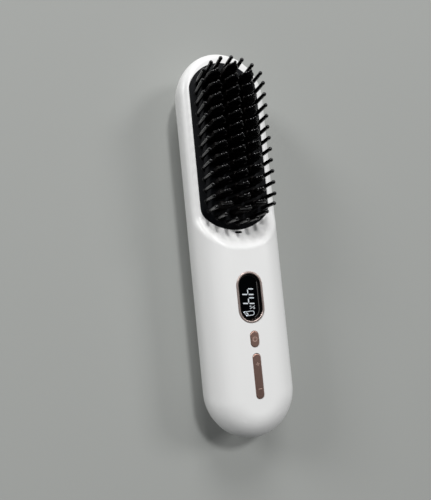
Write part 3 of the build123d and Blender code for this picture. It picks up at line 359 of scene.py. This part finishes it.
grain(cap_nylon, 3.0 * mm, 0.001 * mm, (0.26, 0.34))


def select_only(kind, test):
    """In edit mode, selects the verts, edges or faces whose middle passes the test."""
    bpy.ops.mesh.select_mode(type={"verts": "VERT", "edges": "EDGE", "faces": "FACE"}[kind])
    bpy.ops.mesh.select_all(action="DESELECT")
    mesh = bmesh.from_edit_mesh(bpy.context.object.data)
    for part in getattr(mesh, kind):
        corners = [part] if kind == "verts" else part.verts
        middle = sum((corner.co for corner in corners), Vector()) / len(corners)
        part.select_set(test(middle))
    bmesh.update_edit_mesh(bpy.context.object.data)


def tooth_cap(rise):
    """A master cap on the Z axis, its blade arched to that rise above the tooth."""
    half = cap_thickness / 2
    foot = (0, 0, tooth_top)
    start(
        bpy.ops.mesh.primitive_circle_add,
        vertices=cap_outline_points,
        radius=cap_width / 2,
        fill_type="NGON",
        location=(0, half, tooth_top),
        rotation=(pi / 2, 0, 0),
    )
    bpy.ops.transform.resize(value=(1, 1, rise / (cap_width / 2)), center_override=foot)
    bpy.ops.mesh.bisect(plane_co=foot, plane_no=(0, 0, 1), clear_inner=True)
    bpy.ops.mesh.select_all(action="SELECT")
    bpy.ops.mesh.extrude_region_move(TRANSFORM_OT_translate={"value": (0, -cap_thickness, 0)})
    crest_foot = tooth_top + cap_foot_band
    select_only("edges", lambda middle: abs(middle.y) > 0.9 * half and middle.z > crest_foot)
    bpy.ops.mesh.bevel(offset=cap_crest_round, segments=cap_crest_steps, affect="EDGES")
    blade = finish_mesh("nylon_tooth_caps")
    ball_middle = tooth_top + rise + cap_ball_rise - cap_ball_radius
    tip_rings = [(cap_neck_radius, tooth_top + cap_neck_foot)]
    tip_rings += ball_rings(cap_ball_radius, ball_middle, cap_neck_radius, cap_ball_steps)
    turned(tip_rings, cap_ball_sides)
    tip = finish_mesh("tip")
    merge = blade.modifiers.new("tip", "BOOLEAN")
    merge.operation = "UNION"
    merge.object = tip
    bpy.ops.object.select_all(action="DESELECT")
    blade.select_set(True)
    bpy.context.view_layer.objects.active = blade
    bpy.ops.object.modifier_apply(modifier="tip")
    bpy.data.objects.remove(tip)
    blade.data.materials.append(cap_nylon)
    blade.data.materials.append(bed_nylon)
    for face in blade.data.polygons:
        if abs(face.normal.y) > 0.99 and face.area > cap_side_area:
            face.material_index = 1
            face.use_smooth = False
    return blade


middle_spots = [
    Matrix.Translation((0, tooth_start + tooth_pitch * row, 0)) for row in range(tooth_rows)
]
side_spots = [
    Matrix.Translation((side * tooth_column_x, tooth_start + tooth_pitch * (row + 0.5), 0))
    for side in (-1, 1)
    for row in range(tooth_rows - 1)
]
middle_caps = copies(tooth_cap(cap_middle_rise), middle_spots)
side_caps = copies(tooth_cap(cap_side_rise), side_spots)
bpy.ops.object.select_all(action="DESELECT")
side_caps.select_set(True)
middle_caps.select_set(True)
bpy.context.view_layer.objects.active = middle_caps
bpy.ops.object.join()
middle_caps.name = "nylon_tooth_caps"
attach(middle_caps, "casing")
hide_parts("tooth_caps")

# ---------------------------------------------------------------- steam nozzle
# A small insert of black PPS, which stands the heat of the steam, in the foot of the step.
# Its slot blows across the teeth.

nozzle_pps = new_finish("moulded_black_pps", "131314", 0.4, IOR=1.6)
grain(nozzle_pps, 0.3 * mm, 0.006 * mm, (0.36, 0.5))
dress(nozzle_pps, "steam_nozzle")

# ---------------------------------------------------------------- display ring
# Anodised aluminium ring round the window, in a pale rose gold. It is satin all over, and
# its rounded edges catch the light.

ring_satin = 0.25 * mm
rose_anodised = new_finish("rose_anodised_aluminium", "d3c1ba", 0.36, Metallic=1.0)
grain(rose_anodised, ring_satin, 0.003 * mm, (0.32, 0.44))
dress(rose_anodised, "display_bezel")

# ---------------------------------------------------------------- display window
# Smoked acrylic window over a black module. Its lit bars lie behind the window and read
# from the crown end to the butt end: a charge in percent and a battery sign.

smoked_acrylic = new_finish(
    "smoked_acrylic", "020304", 0.05, IOR=1.49, Alpha=0.62, Specular_IOR_Level=0.12
)
grain(smoked_acrylic, 4 * mm, 0.0008 * mm, (0.04, 0.07))
dress(smoked_acrylic, "display_lens")

module_black = new_finish("matt_black_module", "050609", 0.6, Specular_IOR_Level=0.2)
grain(module_black, 0.4 * mm, 0.004 * mm, (0.5, 0.7))
dress(module_black, "display_module")

glass_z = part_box("display_module")[1].z
window_low, window_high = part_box("display_lens")
window_y = (window_low.y + window_high.y) / 2
glyph_thickness = 0.03 * mm
glyph_gap = 0.005 * mm
bar_width = 0.68 * mm
cross_width = 0.56 * mm
digit_low_x = -3.7 * mm
digit_high_x = 2.4 * mm
digit_middle_x = (digit_low_x + digit_high_x) / 2
digit_width = 2.82 * mm
digit_pitch = 4.5 * mm
first_digit_y = -24.36 * mm
digit_slant = 0.12
glyph_smooth = radians(30)
loop_points = 48
middle_band = 0.02               # share of a width round its middle whose points stay


def extrude_up(height):
    """Gives a flat outline its thickness."""
    bpy.ops.mesh.select_all(action="SELECT")
    bpy.ops.mesh.extrude_region_move(TRANSFORM_OT_translate={"value": (0, 0, height)})


def lit_bar(begin, end, width, z, height):
    """A flat bar with pointed ends between two points that share their X or their Y."""
    begin, end = Vector(begin), Vector(end)
    middle = (begin + end) / 2
    along_x = abs(end.x - begin.x) > abs(end.y - begin.y)
    axis = 0 if along_x else 1
    reach = (end - begin).length / 2 - width / 2
    start(
        bpy.ops.mesh.primitive_circle_add,
        vertices=6,
        radius=width / 2,
        fill_type="NGON",
        location=(middle.x, middle.y, z),
        rotation=(0, 0, pi / 2 if along_x else 0),
    )
    for side in (-1, 1):
        select_only("verts", lambda at: side * (at[axis] - middle[axis]) > middle_band * width)
        shift = [0, 0, 0]
        shift[axis] = side * reach
        bpy.ops.transform.translate(value=shift)
    extrude_up(height)
    return finish_mesh("bar", glyph_smooth)


def flat_loop(middle, half_size, line, z, height, keep=None):
    """A flat rounded frame, as wide as its half sizes say, with only the faces that keep says."""
    half_x, half_y = half_size
    corner = min(half_x, half_y)
    start(
        bpy.ops.mesh.primitive_circle_add,
        vertices=loop_points,
        radius=corner,
        fill_type="NGON",
        location=(middle[0], middle[1], z),
    )
    axis = 0 if half_x > half_y else 1
    reach = abs(half_x - half_y)
    if reach:
        for side in (-1, 1):
            select_only("verts", lambda at: side * (at[axis] - middle[axis]) > middle_band * corner)
            shift = [0, 0, 0]
            shift[axis] = side * reach
            bpy.ops.transform.translate(value=shift)
    bpy.ops.mesh.select_all(action="SELECT")
    bpy.ops.mesh.inset(thickness=line)
    bpy.ops.mesh.delete(type="FACE")
    if keep:
        select_only("faces", lambda at: not keep(at))
        bpy.ops.mesh.delete(type="FACE")
    extrude_up(height)
    return finish_mesh("loop", glyph_smooth)


def joined(name, parts):
    """One piece from several meshes."""
    bpy.ops.object.select_all(action="DESELECT")
    for part in parts:
        part.select_set(True)
    bpy.context.view_layer.objects.active = parts[0]
    bpy.ops.object.join()
    parts[0].name = name
    return parts[0]


glyph_z = glass_z + glyph_gap
glyphs = []
for digit in range(2):
    left_y = first_digit_y - digit * digit_pitch
    right_y = left_y - digit_width
    gap = 0.5 * bar_width
    strokes = [
        ((digit_middle_x + gap, left_y), (digit_high_x, left_y), bar_width),
        ((digit_middle_x, left_y - gap), (digit_middle_x, right_y + gap), cross_width),
        ((digit_middle_x + gap, right_y), (digit_high_x, right_y), bar_width),
        ((digit_low_x, right_y), (digit_middle_x - gap, right_y), bar_width),
    ]
    for begin, end, width in strokes:
        stroke = lit_bar(begin, end, width, glyph_z, glyph_thickness)
        digit_foot = Matrix.Translation((digit_middle_x, 0, 0))
        lean = Matrix.Identity(4)
        lean[1][0] = -digit_slant
        stroke.data.transform(digit_foot @ lean @ digit_foot.inverted())
        glyphs.append(stroke)

percent_y = -33.8 * mm
zero_radius = 0.42 * mm
zero_line = 0.2 * mm
zero_shift = 0.55 * mm
for zero_x, side in ((0.1 * mm, 1), (2.0 * mm, -1)):
    zero_middle = (zero_x, percent_y + side * zero_shift)
    glyphs.append(
        flat_loop(zero_middle, (zero_radius, zero_radius), zero_line, glyph_z, glyph_thickness)
    )
slash_low_x = -0.5 * mm
slash_high_x = 2.6 * mm
slash_width = 0.26 * mm
slash_turn = Matrix.Rotation(radians(24), 4, "Z")
slash = lit_bar(
    (slash_low_x, percent_y), (slash_high_x, percent_y), slash_width, glyph_z, glyph_thickness
)
slash_middle = Matrix.Translation(((slash_low_x + slash_high_x) / 2, percent_y, 0))
slash.data.transform(slash_middle @ slash_turn @ slash_middle.inverted())
glyphs.append(slash)

battery_y = -36.6 * mm
battery_half = (3.2 * mm, 1.2 * mm)
battery_x = -1.3 * mm
battery_line = 0.32 * mm
battery_lean = 0.7
battery_end_x = -3.1 * mm
battery_end_reach = 1.25 * mm
battery_end_width = 0.4 * mm
charge_x = -1.95 * mm
charge_reach = 0.68 * mm
charge_width = 0.75 * mm
glyphs.append(
    flat_loop((battery_x, battery_y), battery_half, battery_line, glyph_z, glyph_thickness)
)
bpy.ops.object.mode_set(mode="EDIT")
bpy.ops.mesh.select_all(action="SELECT")
bpy.ops.mesh.bisect(
    plane_co=(battery_end_x, battery_y, 0),
    plane_no=(1, battery_lean, 0),
    use_fill=True,
    clear_inner=True,
)
finish_mesh("loop", glyph_smooth)
battery_foot = Matrix.Translation((0, battery_y, 0))
battery_shear = Matrix.Identity(4)
battery_shear[0][1] = -battery_lean
for x, reach, width in (
    (battery_end_x, battery_end_reach, battery_end_width),
    (charge_x, charge_reach, charge_width),
):
    bar = lit_bar(
        (x, battery_y - reach), (x, battery_y + reach), width, glyph_z, glyph_thickness
    )
    bar.data.transform(battery_foot @ battery_shear @ battery_foot.inverted())
    glyphs.append(bar)
digits = joined("display_digits", glyphs)
lit_white = new_finish("lit_white_segment", "e2e8ee", 0.5, Emission_Strength=5.4)
grain(lit_white, 0.4 * mm, 0.002 * mm, (0.45, 0.55))
mottle(lit_white, "ccd8e2", "f6f9fc", 2.5 * mm, 1.0, "Emission Color")
digits.data.materials.append(lit_white)
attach(digits, "casing")

border_half = (4.8 * mm, 10.8 * mm)
border_line = 0.24 * mm
border_low_x = 1.6 * mm
border_high_y = -21 * mm
border = flat_loop(
    (0, window_y),
    border_half,
    border_line,
    glyph_z,
    glyph_thickness,
    keep=lambda at: at.x > border_low_x and at.y < border_high_y,
)
border.name = "display_border"
# The grey border print glows in its own grey. This is a painted glow that stands in for the light
# falling on the print through the smoked window.
border_print = new_finish(
    "border_print_painted_glow", "b4b4b6", 0.5, Emission_Color=linear("b4b2b0"), Emission_Strength=1.3
)
grain(border_print, 0.4 * mm, 0.002 * mm, (0.45, 0.55))
border.data.materials.append(border_print)
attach(border, "casing")

# ---------------------------------------------------------------- power button
# Rose-gold plated ABS key with rounded edges, satin to the touch. The power sign is pad
# printed on it in a pale rose paint.

rose_plated = new_finish("satin_rose_gold_plating", "c4a093", 0.38, Metallic=1.0)
grain(rose_plated, 0.3 * mm, 0.003 * mm, (0.34, 0.46))
dress(rose_plated, "power_button")

key_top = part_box("power_button")[1].z
button_low, button_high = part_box("power_button")
power_y = (button_low.y + button_high.y) / 2
sign_thickness = 0.03 * mm
sign_line = 0.32 * mm
sign_radius = 1.25 * mm
sign_gap = 0.5 * mm
stroke_low = 0.2 * mm
stroke_high = 1.5 * mm
arc = flat_loop(
    (0, power_y),
    (sign_radius, sign_radius),
    sign_line,
    key_top,
    sign_thickness,
    keep=lambda at: not (abs(at.x) < sign_gap and at.y > power_y),
)
stroke = lit_bar(
    (0, power_y + stroke_low), (0, power_y + stroke_high), sign_line, key_top, sign_thickness
)
power_sign = joined("power_sign", [arc, stroke])
sign_paint = new_finish("pale_rose_paint", "b89c90", 0.5)
grain(sign_paint, 0.3 * mm, 0.003 * mm, (0.44, 0.56))
power_sign.data.materials.append(sign_paint)
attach(power_sign, "power_button")

# ---------------------------------------------------------------- temperature key
# A long key of the same plated ABS, pivoted at its middle. A plus is printed on its upper
# end and a minus on its lower end.

dress(rose_plated, "temperature_rocker")
key_low, key_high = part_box("temperature_rocker")
key_y = (key_low.y + key_high.y) / 2
mark_reach = 6.0 * mm
mark_x = 0.15 * mm
mark_half = 0.95 * mm
mark_line = 0.36 * mm
minus_drop = 0.2 * mm
left_x, right_x = mark_x - mark_half, mark_x + mark_half
plus_y = key_y + mark_reach
minus_y = key_y - mark_reach - minus_drop
marks = [
    lit_bar((left_x, plus_y), (right_x, plus_y), mark_line, key_high.z, sign_thickness),
    lit_bar(
        (mark_x, plus_y - mark_half),
        (mark_x, plus_y + mark_half),
        mark_line,
        key_high.z,
        sign_thickness,
    ),
    lit_bar((left_x, minus_y), (right_x, minus_y), mark_line, key_high.z, sign_thickness),
]
key_marks = joined("temperature_marks", marks)
key_marks.data.materials.append(sign_paint)
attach(key_marks, "temperature_rocker")

# ---------------------------------------------------------------- filler plug and screw plugs
# Soft pale silicone, with the dull bloom that silicone gets in use. The filler plug closes
# the tank at the crown end, four small plugs hide the case screws in the back, and a ring
# of the same silicone holds the atomizer's disc.

silicone_pale = new_finish("pale_silicone", "d5d6d5", 0.55, IOR=1.42)
grain(silicone_pale, 0.5 * mm, 0.006 * mm, (0.5, 0.64))
dress(silicone_pale, "filler_plug", "screw_plugs", "atomizer_holder")

# ---------------------------------------------------------------- charging socket
# A drawn steel shell with nickel plating, as bright as the cells' nickel tabs, and a black
# contact tongue of liquid crystal polymer.

nickel_plate = new_finish("bright_nickel_plate", "c9c6c0", 0.22, Metallic=1.0)
grain(nickel_plate, 0.4 * mm, 0.002 * mm, (0.18, 0.3))
dress(nickel_plate, "usb_port", "battery_tabs")
tongue_lcp = new_finish("black_lcp_tongue", "101012", 0.45)
grain(tongue_lcp, 0.2 * mm, 0.003 * mm, (0.4, 0.5))
dress(tongue_lcp, "usb_tongue")

# ---------------------------------------------------------------- boards and switches
# Glass fibre boards under a green solder mask carry the tactile switches: stamped steel
# frames with black plungers. The temperature sensor's bead is as black and smooth.

solder_mask = new_finish("green_solder_mask", "1c5a35", 0.32, IOR=1.55)
grain(solder_mask, 0.6 * mm, 0.004 * mm, (0.26, 0.4))
mottle(solder_mask, "1a5431", "22683e", 1.2 * mm)
dress(solder_mask, "main_board", "usb_board")
stamped_steel = new_finish("stamped_steel", "b4b4b6", 0.35, Metallic=1.0)
grain(stamped_steel, 0.3 * mm, 0.003 * mm, (0.28, 0.42))
dress(stamped_steel, "power_switch", "plus_switch", "minus_switch")
plunger_black = new_finish("black_acetal", "111112", 0.38)
grain(plunger_black, 0.3 * mm, 0.003 * mm, (0.32, 0.44))
dress(
    plunger_black,
    "power_switch_plunger",
    "plus_switch_plunger",
    "minus_switch_plunger",
    "temperature_sensor",
)

# ---------------------------------------------------------------- screws, pin and fuse
# Zinc-plated steel, bright with a slight blue cast and the fine marks of tumbling. The
# key's pin and the can of the thermal fuse look the same.

zinc_plate = new_finish("zinc_plated_steel", "a9abb0", 0.32, Metallic=1.0)
grain(zinc_plate, 0.25 * mm, 0.004 * mm, (0.26, 0.42))
dress(
    zinc_plate,
    "case_screws",
    "comb_screws",
    "heater_screws",
    "board_screws",
    "rocker_pin",
    "thermal_fuse",
)

# ---------------------------------------------------------------- cells, cradle and foam
# Two steel cells in blue shrink sleeve lie in a cradle of natural ABS, held down by strips
# of closed-cell foam. The steam duct is moulded in the same ABS.

shrink_sleeve = new_finish("blue_shrink_sleeve", "1f58a8", 0.3, IOR=1.54)
grain(shrink_sleeve, 1.5 * mm, 0.01 * mm, (0.24, 0.36))
dress(shrink_sleeve, "battery_cell_left", "battery_cell_right")
natural_abs = new_finish("natural_abs", "d8d3c4", 0.5, IOR=1.53)
grain(natural_abs, 0.6 * mm, 0.006 * mm, (0.44, 0.58))
dress(natural_abs, "battery_cradle", "steam_duct")
eva_foam = new_finish("black_eva_foam", "1b1b1c", 0.95)
grain(eva_foam, 0.5 * mm, 0.12 * mm, (0.9, 1.0), 4.0)
dress(eva_foam, "battery_foam")

# ---------------------------------------------------------------- heater pack
# A white PTC ceramic under the plate, wrapped in amber polyimide and clamped by a carrier
# of brown PPS. The piezo disc of the atomizer is the same kind of fired ceramic.

fired_ceramic = new_finish("fired_white_ceramic", "dedad0", 0.6)
grain(fired_ceramic, 0.2 * mm, 0.01 * mm, (0.54, 0.7))
dress(fired_ceramic, "ptc_heater", "atomizer_disc")
polyimide = new_finish("amber_polyimide", "b5812a", 0.28, IOR=1.7)
grain(polyimide, 2 * mm, 0.008 * mm, (0.22, 0.34))
dress(polyimide, "heater_insulator")
carrier_pps = new_finish("brown_pps", "4a3f35", 0.5, IOR=1.6)
grain(carrier_pps, 0.3 * mm, 0.01 * mm, (0.44, 0.58))
mottle(carrier_pps, "463b32", "53473c", 1.5 * mm)
dress(carrier_pps, "heater_carrier")

# ---------------------------------------------------------------- water tank and wick
# Translucent polypropylene, milky where it is thick, moulded as a tank and its lid. A wick
# of pressed cotton carries the water to the atomizer.

milky_pp = new_finish("milky_polypropylene", "cfdbe2", 0.38, IOR=1.49)
grain(milky_pp, 0.8 * mm, 0.006 * mm, (0.32, 0.46))
dress(milky_pp, "water_tank", "tank_lid")
cotton = new_finish("pressed_cotton", "ece6d8", 0.95, Sheen_Weight=0.3)
grain(cotton, 0.25 * mm, 0.08 * mm, (0.9, 1.0), 5.0)
dress(cotton, "wick")

# ---------------------------------------------------------------- leads
# Stranded copper in soft red silicone insulation, soldered at both ends. The solids have
# each lead's real length and route, so it only gets its finish here.

lead_red = new_finish("red_silicone_insulation", "a02520", 0.5, IOR=1.42)
grain(lead_red, 0.4 * mm, 0.005 * mm, (0.44, 0.58))
dress(lead_red, "heater_leads", "atomizer_leads", "battery_leads", "usb_leads")

# ---------------------------------------------------------------- floor, light and camera
# A plain pale floor under a weak even sky. Two lamps stand beyond the crown end, a small
# one high and a broad one low, and two weaker ones beside it, all far away, so the light is
# even on the body and the pins' shadows are soft.

floor_size = 8.0
floor_gap = 0.02 * mm
start(bpy.ops.mesh.primitive_plane_add, size=floor_size, location=(0, 0, -floor_gap))
bpy.ops.object.mode_set(mode="OBJECT")
floor = bpy.context.object
floor.name = "floor"
floor.data.materials.append(new_finish("pale_floor_paint", "a3a5a2", 0.8))

world = bpy.data.worlds.new("soft_sky")
world.use_nodes = True
sky = world.node_tree.nodes["Background"]
sky_strength = 0.08
sky.inputs["Color"].default_value = linear("dfe3e8")
sky.inputs["Strength"].default_value = sky_strength
bpy.context.scene.world = world

middle = Vector((0, 0, 20 * mm))
for name, place, size, power in (
    ("crown_lamp", (0.45, 2.4, 4.2), 0.5, 90.5),
    ("low_lamp", (0, 4.08, 2.61), 1.6, 86.5),
    ("left_lamp", (-1.5, 1.2, 0.9), 0.6, 17.0),
    ("right_lamp", (3.2, 1.4, 3.3), 1.2, 60.0),
):
    lamp = bpy.data.lights.new(name, "AREA")
    lamp.shape = "SQUARE"
    lamp.size = size
    lamp.energy = power
    holder = bpy.data.objects.new(name, lamp)
    holder.location = place
    holder.rotation_euler = (middle - Vector(place)).to_track_quat("-Z", "Y").to_euler()
    bpy.context.scene.collection.objects.link(holder)

view = bpy.context.scene.view_settings
view.view_transform = "Standard"
lens = bpy.data.cameras.new("camera")
lens.lens = 28.7
lens.clip_start = 0.01
camera = bpy.data.objects.new("camera", lens)
camera.location = (-74.1 * mm, -11.0 * mm, 221.6 * mm)
camera.rotation_euler = (radians(3.92), radians(-17.15), radians(-5.88))
bpy.context.scene.collection.objects.link(camera)
bpy.context.scene.camera = camera
